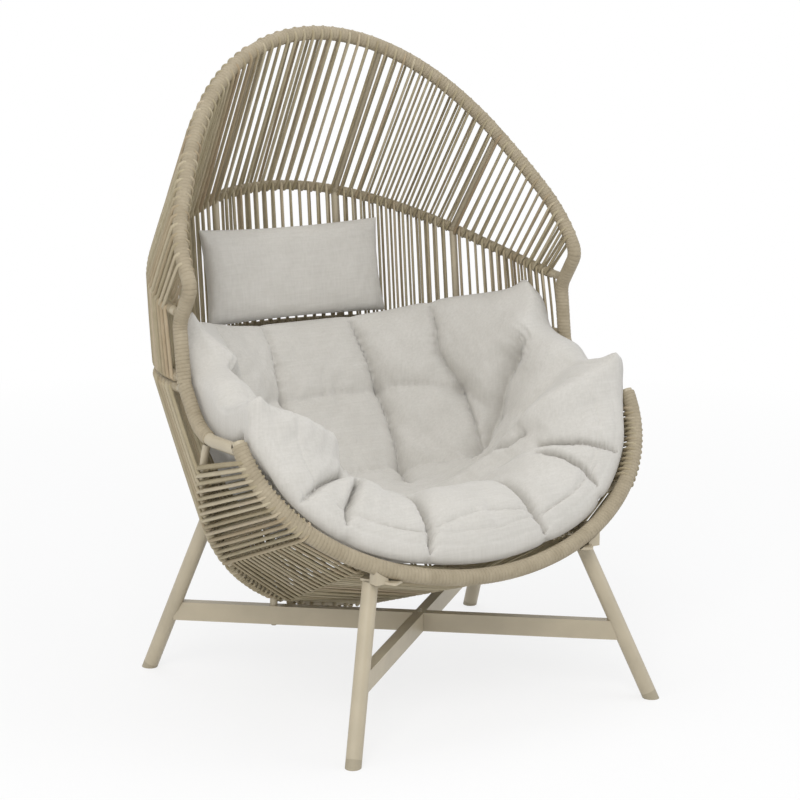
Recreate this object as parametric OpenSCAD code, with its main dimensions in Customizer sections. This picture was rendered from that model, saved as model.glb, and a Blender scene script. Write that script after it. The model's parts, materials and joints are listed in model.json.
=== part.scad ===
// Egg-shaped lounge chair: corded two-part shell on a crossed four-leg base.
// Millimetres, +Z up, front towards -Y. Drawn from the middle of the base, then set
// forward so that the origin lies on the floor under the middle of the chair's depth.

/* [Shell opening] */
// Half width of the shell at the centres of its side tubes
side_x = 476; // [460:2:490]
// Lean of the opening back from the vertical
rake = 34; // [33:0.25:35]
// Forward reach of the opening plane where it would meet the floor
opening_y = 535; // [530:1:540]
// Height of the armrest ends, where the front hoop starts
hoop_top_z = 600; // [596:1:604]
// Drop of the front hoop, measured down the opening plane
hoop_drop = 344; // [336:2:350]
// Height of the widest level of the upper arch
arch_mid_z = 780; // [770:2:790]
// Rise of the upper arch above that level, up the opening plane
arch_rise = 688; // [660:2:710]

/* [Side frames and rings] */
// Height of the elbow where the arch turns back into the side post
elbow_z = 876; // [868:1:884]
// Height at which the hood parts from the seat
split_z = 679; // [675:1:684]
// Distance of the side posts behind the middle at the split
post_y = 90; // [86:1:96]
// Depth of the hood ring behind the side posts
ring_reach = 455; // [445:1:462]
// Rise of the middle ring from its ends to the back
mid_rise = 185; // [170:1:195]
// Radius of the under hoop
under_r = 476; // [472:1:478]
// Lean of the under hoop, its top forward
under_lean = 22.15; // [21:0.25:23.5]

/* [Tubes] */
// Outside diameter of the rim tubes
rim_d = 25; // [23:0.5:27]
// Wall of the steel tubes
wall = 1.5; // [1.2:0.1:2.4]
// Thickness of the winding on arch and posts
arch_wrap = 2.5; // [2:0.25:3]
// Thickness of the winding on the front hoop
hoop_wrap = 4; // [3:0.25:4.5]
// Diameter of the ribs and the under hoop
rib_d = 16; // [14:0.5:18]
// Diameter of the hood and seat rings
ring_d = 18; // [16:0.5:19]

/* [Cords] */
// Diameter of a cord strand
cord_d = 6.5; // [5:0.5:7.5]
// Strands a layer in each bay beside a side post
side_bay = 13; // [8:1:15]
// Strands a layer in each bay between two ribs
rib_bay = 13; // [8:1:15]
// Strands a layer in each panel under an armrest
arm_bay = 14; // [8:1:15]
// Strands a layer in each bay under the seat
base_bay = 17; // [8:1:19]

/* [Base] */
// Outside diameter of the legs
leg_d = 32; // [28:0.5:36]
// Sideways distance of a front foot from the middle
front_x = 367; // [355:1:380]
// Forward distance of a front foot from the middle
front_y = 370; // [360:1:380]
// Sideways distance of a rear foot from the middle
rear_x = 425; // [415:1:435]
// Rearward distance of a rear foot from the middle
rear_y = 370; // [360:1:380]
// Height of the rails' top face
rail_top = 164; // [156:1:168]
// Height of a rail
rail_h = 40; // [34:1:44]
// Width of a rail
rail_w = 22; // [18:1:25]
// Thickness of the plate on each front leg
plate_t = 5; // [4:0.5:6]

/* [Cushions] */
// Thickness of the seat cushion
seat_t = 105; // [85:1:115]
// Width of the head pillow
pillow_w = 430; // [380:5:440]
// Height of the head pillow
pillow_h = 215; // [190:5:230]
// Thickness of the head pillow
pillow_t = 85; // [60:5:95]

/* [Hidden] */
$fn = 48;
steel = "#b3a68c";
cordc = "#b5a988";
cloth = "#cdc9c0";
rim_r = rim_d / 2;
arch_r = rim_r + arch_wrap;
hoop_r = rim_r + hoop_wrap;
rib_r = rib_d / 2;
ring_r = ring_d / 2;
cord_r = cord_d / 2;
tie_t = 2;
fit = 0.15;
seam = 0.05;
rib_a = 37.5;
rib_b = 71;
hoop_a = 36;
hoop_b = 52.8;
under_a = 39.7;
under_b = 63.5;
arch_x = side_x + 5;
elbow_bend = 30;

// Vectors, arcs and runs of arcs
function unit(v) = v / norm(v);
function lerp(a, b, f) = a + (b - a) * f;
function perp(v) = [-v[1], v[0]];
function arc_by(p, t, m, a, b) =
  let (w = m - p, n = perp(t), s = (w * w) / (2 * (n * w)), c = p + n * s)
  let (a0 = atan2(a[1] - c[1], a[0] - c[0]), a1 = atan2(b[1] - c[1], b[0] - c[0]))
  [c[0], c[1], abs(s), a0, a1 < a0 ? a1 + 360 : a1];
function biarc(n0, n1) =
  let (p0 = n0[0], t0 = n0[1], p1 = n1[0], t1 = n1[1], v = p1 - p0, t = t0 + t1)
  let (k = 2 * (1 - t0 * t1), d = (sqrt((v * t) * (v * t) + k * (v * v)) - v * t) / k)
  let (m = (p0 + d * t0 + p1 - d * t1) / 2)
  [arc_by(p0, t0, m, p0, m), arc_by(p1, t1, m, m, p1)];
function arc_run(nodes) =
  [for (i = [0:len(nodes) - 2]) for (a = biarc(nodes[i], nodes[i + 1])) a];
function arc_len(a) = a[2] * (a[4] - a[3]) * PI / 180;
function run_len(l, i = 0) = i >= len(l) ? 0 : arc_len(l[i]) + run_len(l, i + 1);
function run_at(l, s, i = 0) =
  (s <= arc_len(l[i]) || i == len(l) - 1)
  ? let (a = l[i][3] + s / l[i][2] * 180 / PI)
    [l[i][0] + l[i][2] * cos(a), l[i][1] + l[i][2] * sin(a), a]
  : run_at(l, s - arc_len(l[i]), i + 1);
function oval_node(a, b, t) = [[a * cos(t), b * sin(t)], unit([-a * sin(t), b * cos(t)])];
function mirrored(l) =
  [for (i = [len(l) - 1:-1:0]) [[-l[i][0][0], l[i][0][1]], [l[i][1][0], -l[i][1][1]]]];

// Opening plane
function rim_at(q, zc) =
  [q[0], tan(rake) * (zc + q[1] * cos(rake)) - opening_y, zc + q[1] * cos(rake)];
function rim_dir(q) = [q[0], q[1] * sin(rake), q[1] * cos(rake)];
module on_rim(zc) {
  translate([0, tan(rake) * zc - opening_y, zc])
    rotate([90 - rake, 0, 0])
      children();
}

// Side frame, drawn in its own vertical plane as [y, z]
rim_line = [sin(rake), cos(rake)];
elbow_p = [tan(rake) * elbow_z - opening_y, elbow_z];
knee_p = [post_y + 16, split_z + 121];
post_p = [post_y, split_z];
arm_y = tan(rake) * (hoop_top_z - 13) - opening_y;
arm_p = [arm_y, hoop_top_z - 13];
arm_bend_p = [post_y - 68, hoop_top_z - 16];
function turn(a, b) = let (u = unit(a), w = unit(b)) atan2(u[0] * w[1] - u[1] * w[0], u * w);
elbow_turn = abs(turn(-rim_line, knee_p - elbow_p));
elbow_start = elbow_bend * tan(elbow_turn / 2);
arch_from = (elbow_z - arch_mid_z) / cos(rake) + elbow_start + 6;

arch_half = [[[side_x, arch_from], [0, 1]], oval_node(arch_x, arch_rise, rib_a),
  oval_node(arch_x, arch_rise, rib_b)];
arch_arcs = arc_run(concat(arch_half, [oval_node(arch_x, arch_rise, 90)], mirrored(arch_half)));
hoop_arcs = arc_run([for (t = [180, 180 + hoop_a, 180 + hoop_b, 270, 360 - hoop_b,
  360 - hoop_a, 360]) oval_node(side_x, hoop_drop, t)]);
ring_arcs = arc_run([for (t = [0, rib_a, rib_b, 90, 180 - rib_b, 180 - rib_a, 180])
  oval_node(side_x, ring_reach, t)]);
function part_of(l, i, j) = [for (k = [i:j]) l[k]];
function bay_span(l, i, j) = [run_len(part_of(l, 0, i - 1)), run_len(part_of(l, 0, j))];

// Points and directions on each member: [point, tangent]
function arch_pt(s) = let (q = run_at(arch_arcs, s))
  [rim_at(q, arch_mid_z), rim_dir([-sin(q[2]), cos(q[2])])];
function hoop_pt(t) = [rim_at([side_x * cos(t), -hoop_drop * sin(t)], hoop_top_z),
  unit(rim_dir([-side_x * sin(t), -hoop_drop * cos(t)]))];
function ring_pt(s, z) = let (q = run_at(ring_arcs, s))
  [[q[0], post_y + q[1], z], [-sin(q[2]), cos(q[2]), 0]];
under_z = hoop_top_z - 28;
function under_pt(t) =
  [[under_r * cos(t), under_r * sin(t) * sin(under_lean),
    under_z - under_r * sin(t) * cos(under_lean)],
   [-sin(t), cos(t) * sin(under_lean), -cos(t) * cos(under_lean)]];
function mid_p(t) = [side_x * cos(t), knee_p[0] + (ring_reach + 11) * sin(t),
  knee_p[1] + 19 + mid_rise * pow(sin(t), 1.6)];
function mid_pt(t) = [mid_p(t), unit(mid_p(t + 0.5) - mid_p(t - 0.5))];
hood_ring_z = split_z + ring_r + tie_t;
seat_ring_z = split_z - ring_r - tie_t;

// Straight round bar, tube and strand between two points
module bar(p, q, r, roll = 0) {
  d = q - p;
  translate(p)
    rotate([0, acos(d[2] / norm(d)), atan2(d[1], d[0])])
      rotate([0, 0, roll])
        cylinder(h = norm(d), r = r);
}
module through(pt, r, l = 60) {
  bar(pt[0] - pt[1] * l / 2, pt[0] + pt[1] * l / 2, r);
}
module tube_ring(r_out, r_in) {
  difference() {
    circle(r = r_out);
    circle(r = r_in);
  }
}
module splice(p, a, ro, ri) {
  translate([p[0], p[1], 0])
    rotate([90, 0, a])
      linear_extrude(height = 5, center = true)
        tube_ring(lerp(ri, ro, 0.7), lerp(ri, ro, 0.3));
}
// A chain of arcs as one tube: hairline weld seams, joined inside the wall
module arcs(l, ro, ri) {
  for (i = [0:len(l) - 1]) {
    a = l[i];
    c = seam / a[2] * 180 / PI;
    c0 = i == 0 ? 0 : c;
    c1 = i == len(l) - 1 ? 0 : c;
    translate([a[0], a[1], 0])
      rotate([0, 0, a[3] + c0])
        rotate_extrude(angle = a[4] - a[3] - c0 - c1)
          translate([a[2], 0])
            tube_ring(ro, ri);
    if (i > 0)
      splice([a[0] + a[2] * cos(a[3]), a[1] + a[2] * sin(a[3])], a[3], ro, ri);
  }
}
function trims(p, r) = [for (i = [0:len(p) - 1]) (i == 0 || i == len(p) - 1) ? 0
  : r[i] * tan(abs(turn(p[i] - p[i - 1], p[i + 1] - p[i])) / 2)];
module bent(p, r, ro, ri) {
  tr = trims(p, r);
  for (i = [0:len(p) - 2]) {
    d = unit(p[i + 1] - p[i]);
    a = atan2(d[1], d[0]);
    c0 = i == 0 ? 0 : seam;
    c1 = i == len(p) - 2 ? 0 : seam;
    s = p[i] + d * tr[i];
    e = p[i + 1] - d * tr[i + 1];
    translate([s[0], s[1], 0])
      rotate([0, 0, a])
        rotate([0, 90, 0])
          translate([0, 0, c0])
            linear_extrude(height = norm(e - s) - c0 - c1)
              tube_ring(ro, ri);
    if (i > 0) splice(s, a - 90, ro, ri);
    if (i < len(p) - 2) splice(e, a - 90, ro, ri);
  }
  for (i = [1:len(p) - 2]) {
    d0 = unit(p[i] - p[i - 1]);
    a = turn(d0, p[i + 1] - p[i]);
    s = p[i] - d0 * tr[i];
    c = s + perp(d0) * r[i] * sign(a);
    a0 = atan2(s[1] - c[1], s[0] - c[0]);
    g = seam / r[i] * 180 / PI;
    translate([c[0], c[1], 0])
      rotate([0, 0, (a > 0 ? a0 : a0 + a) + g])
        rotate_extrude(angle = abs(a) - 2 * g)
          translate([r[i], 0])
            tube_ring(ro, ri);
  }
}
module on_side(s) {
  mirror([s < 0 ? 1 : 0, 0, 0])
    translate([side_x, 0, 0])
      rotate([90, 0, 90])
        children();
}
module both() {
  children();
  mirror([1, 0, 0]) children();
}

// Base
mid_y = (knee_p[0] + ring_reach + 11 + ring_r + cord_d - front_y - 13) / 2;
module placed() {
  translate([0, -mid_y, 0]) children();
}
lean_f = [0.328, 0.332];
leg_top_f = rail_top + 164;
function leg_axis(p, top) = unit(top - p);
foot_f = [front_x, -front_y, 0];
top_f = [front_x - lean_f[0] * leg_top_f, -front_y + lean_f[1] * leg_top_f, leg_top_f];
foot_r = [rear_x, rear_y, 0];
back_a0 = ring_pt(bay_span(ring_arcs, 2, 2)[0], seat_ring_z);
back_a1 = under_pt(under_a);
top_r = lerp(back_a1[0], back_a0[0], 0.26);
leg_roll = 30;
glide_l = 15;
spigot = 22;
function leg_end(p, top) = p + leg_axis(p, top) * glide_l;
module along(p, d) {
  translate(p)
    rotate([0, acos(d[2]), atan2(d[1], d[0])])
      children();
}
module leg_skin(p, top) {
  bar(p, top + leg_axis(p, top) * 60, leg_d / 2 + fit, leg_roll);
}
module leg_tube(p, top) {
  d = leg_axis(p, top);
  difference() {
    bar(leg_end(p, top), top + d * 40, leg_d / 2, leg_roll);
    bar(leg_end(p, top) - d, top + d * 50, leg_d / 2 - wall, leg_roll);
    children();
  }
}
module leg_front() {
  leg_tube(foot_f, top_f)
    translate([0, -front_y, leg_top_f])
      cube([front_x, front_y, 200]);
}
rear_collar = 26;
leg_rear_end = top_r - leg_axis(foot_r, top_r) * rear_collar;
module leg_rear() {
  d = leg_axis(foot_r, top_r);
  leg_tube(foot_r, top_r)
    along(leg_rear_end, d)
      cylinder(h = 200, r = leg_d);
}
module glide(p, top) {
  d = leg_axis(p, top);
  e = leg_end(p, top);
  intersection() {
    union() {
      bar(p - d * 20, e, leg_d / 2, leg_roll);
      bar(e - d, e + d * spigot, leg_d / 2 - wall - fit, leg_roll);
    }
    translate([p[0] - 100, p[1] - 100, 0]) cube([200, 200, 100]);
  }
}
function at_height(p, top, z) = p + (top - p) * z / top[2];
rail_mid = rail_top - rail_h / 2;
rail_cut = 5;
node_f = at_height(foot_f, top_f, rail_mid);
node_r = at_height(foot_r, top_r, rail_mid);
cross_f = node_f[0] / (node_f[0] + node_r[0]);
cross_y = lerp(node_f[1], node_r[1], cross_f);
module rail_bar(s, w, h) {
  a = [node_f[0] * s, node_f[1], rail_mid];
  b = [-node_r[0] * s, node_r[1], rail_mid];
  d = b - a;
  translate(a + unit(d) * rail_cut)
    rotate([0, 0, atan2(d[1], d[0])])
      translate([0, -w / 2, -h / 2])
        cube([norm(d) - 2 * rail_cut, w, h]);
}
module rail(s) {
  difference() {
    rail_bar(s, rail_w, rail_h);
    rail_bar(s, rail_w - 2 * wall, rail_h - 2 * wall);
    mirror([s < 0 ? 1 : 0, 0, 0]) leg_skin(foot_f, top_f);
    mirror([s > 0 ? 1 : 0, 0, 0]) leg_skin(foot_r, top_r);
    translate([0, cross_y, 0]) cylinder(h = 300, r = 3.3);
    hoop_cross(s) cylinder(h = 300, r = 3.3);
  }
}
// Where the under hoop passes over a rail
function over_rail(t) = let (p = under_pt(t)[0])
  (p[1] - cross_y) * node_r[0] - p[0] * (node_r[1] - cross_y);
function seek(a, b, i = 0) = let (m = (a + b) / 2)
  i > 30 ? m : (over_rail(m) > 0 ? seek(a, m, i + 1) : seek(m, b, i + 1));
over_t = seek(20, 88);
over_p = under_pt(over_t)[0];
module hoop_cross(s) {
  translate([-over_p[0] * s, over_p[1], 0]) children();
}
module half_zone(up) {
  translate([-rail_w * 2, cross_y - rail_w * 2, up ? rail_mid : rail_mid - rail_h])
    cube([rail_w * 4, rail_w * 4, rail_h]);
}
module front_plate() {
  p = hoop_pt(57)[0];
  t = hoop_pt(57)[1];
  difference() {
    union() {
      translate([top_f[0], top_f[1], leg_top_f + fit])
        rotate([0, 0, -28])
          linear_extrude(height = plate_t) {
            translate([-36, -58]) square([50, 70]);
            translate([-30, -64]) square([38, 82]);
            for (x = [-30, 8], y = [-58, 12]) translate([x, y]) circle(r = 6);
          }
      translate([p[0] - 14, p[1] - 12, leg_top_f + fit])
        cube([28, 24, p[2] - leg_top_f]);
    }
    through(hoop_pt(57), hoop_r + fit, 120);
    translate([p[0], p[1], 0]) cylinder(h = 500, r = 3.3);
  }
}
module bolt(p, len, r = 3) {
  translate([p[0], p[1], p[2] - 4]) cylinder(h = 4, r = r * 1.9);
  translate([p[0], p[1], p[2] - 1]) cylinder(h = len + 1, r = r);
}

module leg_front_left() { color(steel) placed() mirror([1, 0, 0]) leg_front(); }
module leg_front_right() { color(steel) placed() leg_front(); }
module leg_rear_left() { color(steel) placed() mirror([1, 0, 0]) leg_rear(); }
module leg_rear_right() { color(steel) placed() leg_rear(); }
module foot_glides() {
  color("#8c8371") placed()
    both() {
      glide(foot_f, top_f);
      glide(foot_r, top_r);
    }
}
module rail_long() {
  color(steel) placed()
    difference() {
      rail(1);
      intersection() {
        rail_bar(-1, rail_w + 2 * fit, rail_h + 2);
        half_zone(true);
      }
    }
}
module rail_crossing() {
  color(steel) placed()
    difference() {
      rail(-1);
      intersection() {
        rail_bar(1, rail_w + 2 * fit, rail_h + 2);
        half_zone(false);
      }
    }
}
module centre_bolt() {
  color("#9a9080") placed() {
    bolt([0, cross_y, rail_top - rail_h], rail_h + 8);
    translate([0, cross_y, rail_top]) cylinder(h = 5, r = 5.6, $fn = 6);
  }
}
module front_saddles() { color(steel) placed() both() front_plate(); }
module rear_saddles() {
  d = leg_axis(foot_r, top_r);
  color(steel) placed()
    both()
      difference() {
        union() {
          bar(leg_rear_end + d * fit, top_r, leg_d / 2);
          bar(leg_rear_end - d * spigot, top_r, leg_d / 2 - wall - fit);
        }
        bar(back_a1[0], back_a0[0], rib_r + fit);
        along(top_r, d) translate([-50, -50, 0]) cube([100, 100, 60]);
      }
}
module saddle_bolts() {
  p = hoop_pt(57)[0];
  color("#9a9080") placed()
    both()
      bolt([p[0], p[1], leg_top_f + fit], p[2] - leg_top_f - hoop_r);
}
spacer_top = over_p[2] - rib_r;
module hoop_spacers() {
  color(steel) placed()
    for (s = [-1, 1])
      hoop_cross(s)
        difference() {
          translate([0, 0, rail_top]) cylinder(h = over_p[2] - rail_top, r = 8);
          translate([0, 0, rail_top - 1]) cylinder(h = 100, r = 3.3);
          along([0, 0, over_p[2]], hoop_cross_dir(s))
            translate([0, 0, -50])
              cylinder(h = 100, r = rib_r + fit);
        }
}
function hoop_cross_dir(s) = let (t = under_pt(over_t)[1]) [-t[0] * s, t[1], t[2]];
module hoop_bolts() {
  color("#9a9080") placed()
    for (s = [-1, 1])
      bolt([-over_p[0] * s, over_p[1], rail_top - rail_h], spacer_top - rail_top + rail_h);
}

// Seat frame
module hoop_path(a, b, r_out, r_in) {
  on_rim(hoop_top_z) arcs(part_of(hoop_arcs, a, b), r_out, r_in);
}
module front_hoop() { color(steel) placed() hoop_path(0, 11, rim_r, rim_r - wall); }
module hoop_end_caps() {
  color(steel) placed()
    both()
      along(hoop_pt(0)[0], [0, sin(rake), cos(rake)]) {
        cylinder(h = 3, r = rim_r);
        translate([0, 0, -12]) cylinder(h = 13, r = rim_r - wall - fit);
      }
}
seat_path = [[post_y + 14.3, split_z + 20], arm_bend_p, arm_p];
module seat_side(r_out, r_in) {
  bent(seat_path, [0, 110, 0], r_out, r_in);
}
module above(z) { translate([-700, -700, z]) cube([1400, 1400, 900]); }
module below(z) { translate([-700, -700, z - 900]) cube([1400, 1400, 900]); }
module split_stud_hole() {
  for (s = [-1, 1])
    translate([s * side_x, post_y, split_z - 40]) cylinder(h = 80, r = 4 + fit);
}
module hoop_end_skin(r) {
  both() through([hoop_pt(1.5)[0], [0, sin(rake), cos(rake)]], r, 90);
}
post_dir = unit(post_p - knee_p);
seat_dir = unit(seat_path[1] - seat_path[0]);
module split_cap(s, z) {
  intersection() {
    seat_post_bar(rim_r - 0.3, z > split_z - 1 ? 1 : 0, s);
    translate([-700, -700, z]) cube([1400, 1400, 3]);
  }
}
module seat_post_bar(r, upper, s) {
  d = upper > 0 ? post_dir : seat_dir;
  q = upper > 0 ? knee_p + d * 60 : seat_path[0];
  on_side(s)
    translate([q[0], q[1], 0])
      rotate([0, 90, atan2(d[1], d[0])])
        cylinder(h = 95, r = r);
}
module seat_side_tube(s) {
  difference() {
    union() {
      on_side(s) seat_side(rim_r, rim_r - wall);
      split_cap(s, split_z - 3);
    }
    above(split_z);
    hoop_end_skin(hoop_r + fit);
    split_stud_hole();
  }
}
module seat_side_left() { color(steel) placed() seat_side_tube(-1); }
module seat_side_right() { color(steel) placed() seat_side_tube(1); }
module on_under() {
  translate([0, 0, under_z]) rotate([90 + under_lean, 0, 0]) children();
}
module under_hoop() {
  color(steel) placed()
    difference() {
      on_under() arcs([[0, 0, under_r, 178, 362]], rib_r, rib_r - wall);
      both() bar([side_x, arm_p[0], arm_p[1]], [side_x, arm_bend_p[0], arm_bend_p[1]], rim_r + fit);
    }
}
module ring_path(a, b, z, r_out, r_in) {
  translate([0, post_y, z]) arcs(part_of(ring_arcs, a, b), r_out, r_in);
}
module seat_skin(r) {
  for (s = [-1, 1]) seat_post_bar(r, 0, s);
}
module post_skin(r) {
  for (s = [-1, 1]) seat_post_bar(r, 1, s);
}
module seat_back_ring() {
  color(steel) placed()
    difference() {
      ring_path(0, 11, seat_ring_z, ring_r, ring_r - wall);
      seat_skin(rim_r + fit);
    }
}
module rib(a, ra, b, rb) {
  difference() {
    bar(a[0], b[0], rib_r);
    through(a, ra + fit);
    through(b, rb + fit);
  }
}
function seat_ring_pt(s) = ring_pt(s, seat_ring_z);
function hood_ring_pt(s) = ring_pt(s, hood_ring_z);
ring_a = run_len(part_of(ring_arcs, 0, 1));
ring_b = run_len(part_of(ring_arcs, 0, 3));
arch_a = run_len(part_of(arch_arcs, 0, 1));
arch_b = run_len(part_of(arch_arcs, 0, 3));
module seat_base_ribs() {
  color(steel) placed() {
    both() {
      rib(hoop_pt(hoop_a), rim_r, under_pt(under_a), rib_r);
      rib(hoop_pt(hoop_b), rim_r, under_pt(under_b), rib_r);
    }
    rib(hoop_pt(90), rim_r, under_pt(90), rib_r);
  }
}
module seat_back_ribs() {
  color(steel) placed()
    both() {
      rib(seat_ring_pt(ring_a), ring_r, under_pt(under_a), rib_r);
      rib(seat_ring_pt(ring_b), ring_r, under_pt(under_b), rib_r);
    }
}
module joining_pins() {
  color("#9a9080") placed()
    for (s = [-1, 1])
      translate([s * side_x, post_y, split_z - 14]) cylinder(h = 28, r = 4);
}

// Hood frame
post_path = [elbow_p + rim_line * (elbow_start + 6 - seam), elbow_p, knee_p,
  post_p + unit(post_p - knee_p) * 12];
module hood_side(r_out, r_in) {
  both() on_side(1) bent(post_path, [0, elbow_bend, 45, 0], r_out, r_in);
}
module hood_arch() {
  color(steel) placed()
    difference() {
      union() {
        on_rim(arch_mid_z) {
          arcs(arch_arcs, rim_r, rim_r - wall);
          for (x = [-side_x, side_x]) splice([x, arch_from], 0, rim_r, rim_r - wall);
        }
        hood_side(rim_r, rim_r - wall);
        for (s = [-1, 1]) split_cap(s, split_z);
      }
      below(split_z);
      split_stud_hole();
    }
}
function ring_of(p, t, r, n) =
  let (u = unit(cross(t, [0, 0, 1])), v = cross(u, t))
  [for (k = [0:n - 1]) p + r * (cos(k * 360 / n) * u + sin(k * 360 / n) * v)];
module sweep(path, r, n = 12) {
  m = len(path);
  points = [for (q = path) each ring_of(q[0], q[1], r, n)];
  sides = [for (i = [0:m - 2]) for (k = [0:n - 1]) let (l = (k + 1) % n)
    [i * n + k, i * n + l, (i + 1) * n + l, (i + 1) * n + k]];
  polyhedron(points = points, faces = concat(sides, [[for (k = [n - 1:-1:0]) k],
    [for (k = [0:n - 1]) (m - 1) * n + k]]));
}
mid_start = asin((rim_r + fit) / (ring_reach + 11));
module hood_mid_ring() {
  color(steel) placed()
    sweep([for (i = [0:44]) mid_pt(lerp(mid_start, 180 - mid_start, i / 44))], ring_r);
}
module hood_lower_ring() {
  color(steel) placed()
    difference() {
      ring_path(0, 11, hood_ring_z, ring_r, ring_r - wall);
      post_skin(rim_r + fit);
    }
}
module hood_upper_ribs() {
  color(steel) placed()
    both() {
      rib(arch_pt(arch_a), rim_r, mid_pt(rib_a), ring_r);
      rib(arch_pt(arch_b), rim_r, mid_pt(rib_b), ring_r);
    }
}
module hood_lower_ribs() {
  color(steel) placed()
    both() {
      rib(mid_pt(rib_a), ring_r, hood_ring_pt(ring_a), ring_r);
      rib(mid_pt(rib_b), ring_r, hood_ring_pt(ring_b), ring_r);
    }
}

// Windings
module post_wrap(s) {
  color(cordc) placed()
    difference() {
      on_side(s) bent(post_path, [0, elbow_bend, 45, 0], arch_r, rim_r + 0.02);
      below(split_z + 0.2);
      through(mid_pt(s > 0 ? 2 : 178), ring_r + fit);
      through(hood_ring_pt(s > 0 ? 8 : run_len(ring_arcs) - 8), ring_r + tie_t + fit);
    }
}
module hood_post_wrap_left() { post_wrap(-1); }
module hood_post_wrap_right() { post_wrap(1); }
module seat_wrap(s) {
  color(cordc) placed()
    difference() {
      on_side(s)
        difference() {
          bent(seat_path, [0, 110, 0], arch_r, rim_r + 0.02);
          translate([-300, 400, -50]) square_block();
        }
      above(split_z - 0.2);
      through(seat_ring_pt(s > 0 ? 8 : run_len(ring_arcs) - 8), ring_r + tie_t + fit);
    }
}
module square_block() { cube([300 + post_y - 68, 400, 100]); }
module seat_post_wrap_left() { seat_wrap(-1); }
module seat_post_wrap_right() { seat_wrap(1); }
module rib_skin() {
  both() {
    bar(hoop_pt(hoop_a)[0], under_pt(under_a)[0], rib_r + fit);
    bar(hoop_pt(hoop_b)[0], under_pt(under_b)[0], rib_r + fit);
  }
  bar(hoop_pt(90)[0], under_pt(90)[0], rib_r + fit);
}
module front_hoop_wrap() {
  color(cordc) placed()
    difference() {
      hoop_path(2, 9, hoop_r, rim_r + 0.02);
      rib_skin();
      both() translate([hoop_pt(57)[0][0], hoop_pt(57)[0][1], 0]) cylinder(h = hoop_pt(57)[0][2], r = 3.3);
    }
}

// Cord bays
function tie_at(pt, d, r, out, side) =
  let (n = unit(cross(pt[1], d))) pt[0] + (n * out < 0 ? -n : n) * side * (r + cord_r);
module strand(a, ra, b, rb, out, side) {
  d = unit(b[0] - a[0]);
  bar(tie_at(a, d, ra, out, side), tie_at(b, d, rb, out, side), cord_r);
}
function spots(n, full) = full ? [for (k = [1:n]) k / (n + 1)]
  : [for (k = [1:n + 1]) (k - 0.5) / (n + 1)];
// Bays from right to left: first arc, last arc, angles on the middle ring, angles below
bays = [[0, 1, 4, rib_a, 5, under_a], [2, 3, rib_a, rib_b, under_a, under_b],
  [4, 7, rib_b, 180 - rib_b, under_b, 180 - under_b],
  [8, 9, 180 - rib_b, 180 - rib_a, 180 - under_b, 180 - under_a],
  [10, 11, 180 - rib_a, 176, 180 - under_a, 175]];
function bay_n(i) = (i == 0 || i == 4) ? side_bay : rib_bay;
function bay_s(l, i, f, cut) =
  let (s0 = bays[i][0] == 0 ? cut : run_len(part_of(l, 0, bays[i][0] - 1)))
  let (s1 = run_len(part_of(l, 0, bays[i][1])) - (i == 4 ? cut : 0)) lerp(s0, s1, f);
function away(p) = [p[0], p[1] - post_y, 0];
module hood_upper_bay(i) {
  color(cordc) placed()
    difference() {
      union() {
        on_rim(arch_mid_z)
          arcs(part_of(arch_arcs, bays[i][0], bays[i][1]), arch_r, rim_r + 0.02);
        for (side = [1, -1], f = spots(bay_n(i), side > 0)) {
          a = arch_pt(bay_s(arch_arcs, i, f, 0));
          b = mid_pt(lerp(bays[i][2], bays[i][3], f));
          strand(a, rim_r + 0.05, b, ring_r + fit, away(b[0]), side);
        }
      }
      both() {
        bar(arch_pt(arch_a)[0], mid_pt(rib_a)[0], rib_r + fit);
        bar(arch_pt(arch_b)[0], mid_pt(rib_b)[0], rib_r + fit);
      }
    }
}
module hood_lower_bay(i) {
  color(cordc) placed()
    difference() {
      union() {
        ring_path(bays[i][0], bays[i][1], hood_ring_z, ring_r + tie_t, ring_r + 0.02);
        for (side = [1, -1], f = spots(bay_n(i), side < 0)) {
          a = hood_ring_pt(bay_s(ring_arcs, i, f, 22));
          b = mid_pt(lerp(bays[i][2], bays[i][3], f));
          strand(a, ring_r + 0.05, b, ring_r + fit, away(b[0]), side);
        }
      }
      both() {
        bar(hood_ring_pt(ring_a)[0], mid_pt(rib_a)[0], rib_r + fit);
        bar(hood_ring_pt(ring_b)[0], mid_pt(rib_b)[0], rib_r + fit);
      }
      if (i == 0 || i == 4) post_skin(arch_r + fit);
    }
}
module back_bay(i) {
  color(cordc) placed()
    difference() {
      union() {
        ring_path(bays[i][0], bays[i][1], seat_ring_z, ring_r + tie_t, ring_r + 0.02);
        for (side = [1, -1], f = spots(bay_n(i), side > 0)) {
          a = seat_ring_pt(bay_s(ring_arcs, i, f, 22));
          b = under_pt(lerp(bays[i][4], bays[i][5], f));
          strand(a, ring_r + 0.05, b, rib_r + fit, away(a[0]), side);
        }
      }
      both() {
        bar(seat_ring_pt(ring_a)[0], under_pt(under_a)[0], rib_r + fit);
        bar(seat_ring_pt(ring_b)[0], under_pt(under_b)[0], rib_r + fit);
      }
      if (i == 0 || i == 4) seat_skin(arch_r + fit);
    }
}
module hood_upper_cords_right() { hood_upper_bay(0); }
module hood_upper_cords_mid_right() { hood_upper_bay(1); }
module hood_upper_cords_centre() { hood_upper_bay(2); }
module hood_upper_cords_mid_left() { hood_upper_bay(3); }
module hood_upper_cords_left() { hood_upper_bay(4); }
module hood_lower_cords_right() { hood_lower_bay(0); }
module hood_lower_cords_mid_right() { hood_lower_bay(1); }
module hood_lower_cords_centre() { hood_lower_bay(2); }
module hood_lower_cords_mid_left() { hood_lower_bay(3); }
module hood_lower_cords_left() { hood_lower_bay(4); }
module back_cords_right() { back_bay(0); }
module back_cords_mid_right() { back_bay(1); }
module back_cords_centre() { back_bay(2); }
module back_cords_mid_left() { back_bay(3); }
module back_cords_left() { back_bay(4); }
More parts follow.
